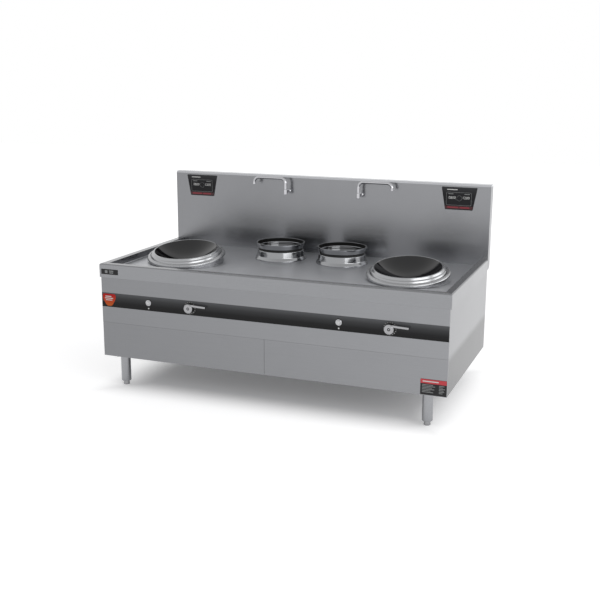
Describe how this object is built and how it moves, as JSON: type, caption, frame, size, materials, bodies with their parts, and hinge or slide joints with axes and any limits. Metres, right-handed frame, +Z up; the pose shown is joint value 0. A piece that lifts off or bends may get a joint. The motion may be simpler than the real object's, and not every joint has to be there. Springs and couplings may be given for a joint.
{
  "type": "commercial induction wok range",
  "caption": "Stainless commercial wok range with large tilted glass wok stations, small pot stations, a sunken deck, swing taps, a backsplash and power levers.",
  "frame": {"origin": "on the floor, in the middle of the width, midway between the front of the levers and the back of the backsplash", "axes": "+Z up, -Y is the cook's side (front), +X is the cook's right"},
  "size_m": [2.2, 1.125, 1.25],
  "materials": {
    "worktop_steel": "satin",
    "backsplash_steel": "satin",
    "panel_steel": "satin",
    "back_steel": "satin",
    "control_strip": "gloss",
    "frame_steel": "satin",
    "ring_chrome": "polished",
    "black_glass": "gloss",
    "seal_rubber": "matt",
    "coil_copper": "satin",
    "coil_carrier": "matt",
    "button_metal": "satin",
    "button_housing": "polished",
    "indicator_lens": "gloss",
    "lever_metal": "polished",
    "lever_switch": "satin",
    "display_face": "gloss",
    "display_board": "matt",
    "tap_chrome": "polished",
    "pipe_copper": "satin",
    "module_metal": "satin",
    "gland_plastic": "matt",
    "fan_plastic": "matt",
    "leg_steel": "satin",
    "foot_steel": "satin",
    "screw_steel": "satin",
    "label_film": "gloss"
  },
  "bodies": {
    "range_body": {"deck_plate": "worktop_steel", "rim_front": "worktop_steel", "rim_left": "worktop_steel", "rim_right": "worktop_steel", "backsplash_front": "backsplash_steel", "backsplash_back": "backsplash_steel", "fascia_panel": "panel_steel", "service_panel_left": "panel_steel", "service_panel_right": "panel_steel", "side_panel_left": "panel_steel", "side_panel_right": "panel_steel", "back_panel": "back_steel", "base_panel": "back_steel", "terminal_box": "back_steel", "control_strip": "control_strip", "frame_posts": "frame_steel", "frame_rails": "frame_steel", "frame_cross_rails": "frame_steel", "wok_ring_left": "ring_chrome", "wok_ring_right": "ring_chrome", "wok_trim_ring_left": "ring_chrome", "wok_trim_ring_right": "ring_chrome", "tail_collar_left": "ring_chrome", "tail_collar_right": "ring_chrome", "tail_ring_left": "ring_chrome", "tail_ring_right": "ring_chrome", "wok_glass_left": "black_glass", "wok_glass_right": "black_glass", "tail_glass_left": "black_glass", "tail_glass_right": "black_glass", "seals": "seal_rubber", "wok_coils": "coil_copper", "tail_coils": "coil_copper", "coil_carriers": "coil_carrier", "button_housings": "button_housing", "indicator_lights": "indicator_lens", "lever_switches": "lever_switch", "display_panel_left": "display_face", "display_panel_right": "display_face", "display_boards": "display_board", "tap_body_left": "tap_chrome", "tap_body_right": "tap_chrome", "water_pipe": "pipe_copper", "power_modules": "module_metal", "cable_gland": "gland_plastic", "legs": "leg_steel", "screws": "screw_steel", "label_plates": "label_film"},
    "tap_arm_left": {"tap_arm_left": "tap_chrome"},
    "tap_arm_right": {"tap_arm_right": "tap_chrome"},
    "lever_left": {"lever_left": "lever_metal"},
    "lever_right": {"lever_right": "lever_metal"},
    "button_left": {"button_left": "button_metal"},
    "button_right": {"button_right": "button_metal"},
    "fan_left": {"fan_left": "fan_plastic"},
    "fan_right": {"fan_right": "fan_plastic"},
    "foot_front_left": {"foot_front_left": "foot_steel"},
    "foot_front_right": {"foot_front_right": "foot_steel"},
    "foot_rear_left": {"foot_rear_left": "foot_steel"},
    "foot_rear_right": {"foot_rear_right": "foot_steel"}
  },
  "joints": [
    {"name": "tap_left_swing", "type": "hinge", "parent": "range_body", "child": "tap_arm_left", "pos_m": [-0.254, 0.4325, 1.2], "axis": [0, 0, 1], "range_deg": [0, 180]},
    {"name": "tap_right_swing", "type": "hinge", "parent": "range_body", "child": "tap_arm_right", "pos_m": [0.254, 0.4325, 1.2], "axis": [0, 0, 1], "range_deg": [-180, 0]},
    {"name": "lever_left_turn", "type": "hinge", "parent": "range_body", "child": "lever_left", "pos_m": [-0.482, -0.5375, 0.5545], "axis": [0, 1, 0], "range_deg": [0, 180]},
    {"name": "lever_right_turn", "type": "hinge", "parent": "range_body", "child": "lever_right", "pos_m": [0.759, -0.5375, 0.5545], "axis": [0, 1, 0], "range_deg": [0, 180]},
    {"name": "button_left_press", "type": "slide", "parent": "range_body", "child": "button_left", "axis": [0, 1, 0], "range_m": [0, 0.004], "stiffness_N_per_m": 400, "springref_m": -0.002},
    {"name": "button_right_press", "type": "slide", "parent": "range_body", "child": "button_right", "axis": [0, 1, 0], "range_m": [0, 0.004], "stiffness_N_per_m": 400, "springref_m": -0.002},
    {"name": "fan_left_spin", "type": "hinge", "parent": "range_body", "child": "fan_left", "pos_m": [-0.735, -0.0475, 0.224], "axis": [0, 0, 1], "continuous": true},
    {"name": "fan_right_spin", "type": "hinge", "parent": "range_body", "child": "fan_right", "pos_m": [0.735, -0.0475, 0.224], "axis": [0, 0, 1], "continuous": true},
    {"name": "foot_front_left_height", "type": "slide", "parent": "range_body", "child": "foot_front_left", "axis": [0, 0, -1], "range_m": [0, 0.03]},
    {"name": "foot_front_right_height", "type": "slide", "parent": "range_body", "child": "foot_front_right", "axis": [0, 0, -1], "range_m": [0, 0.03]},
    {"name": "foot_rear_left_height", "type": "slide", "parent": "range_body", "child": "foot_rear_left", "axis": [0, 0, -1], "range_m": [0, 0.03]},
    {"name": "foot_rear_right_height", "type": "slide", "parent": "range_body", "child": "foot_rear_right", "axis": [0, 0, -1], "range_m": [0, 0.03]}
  ]
}
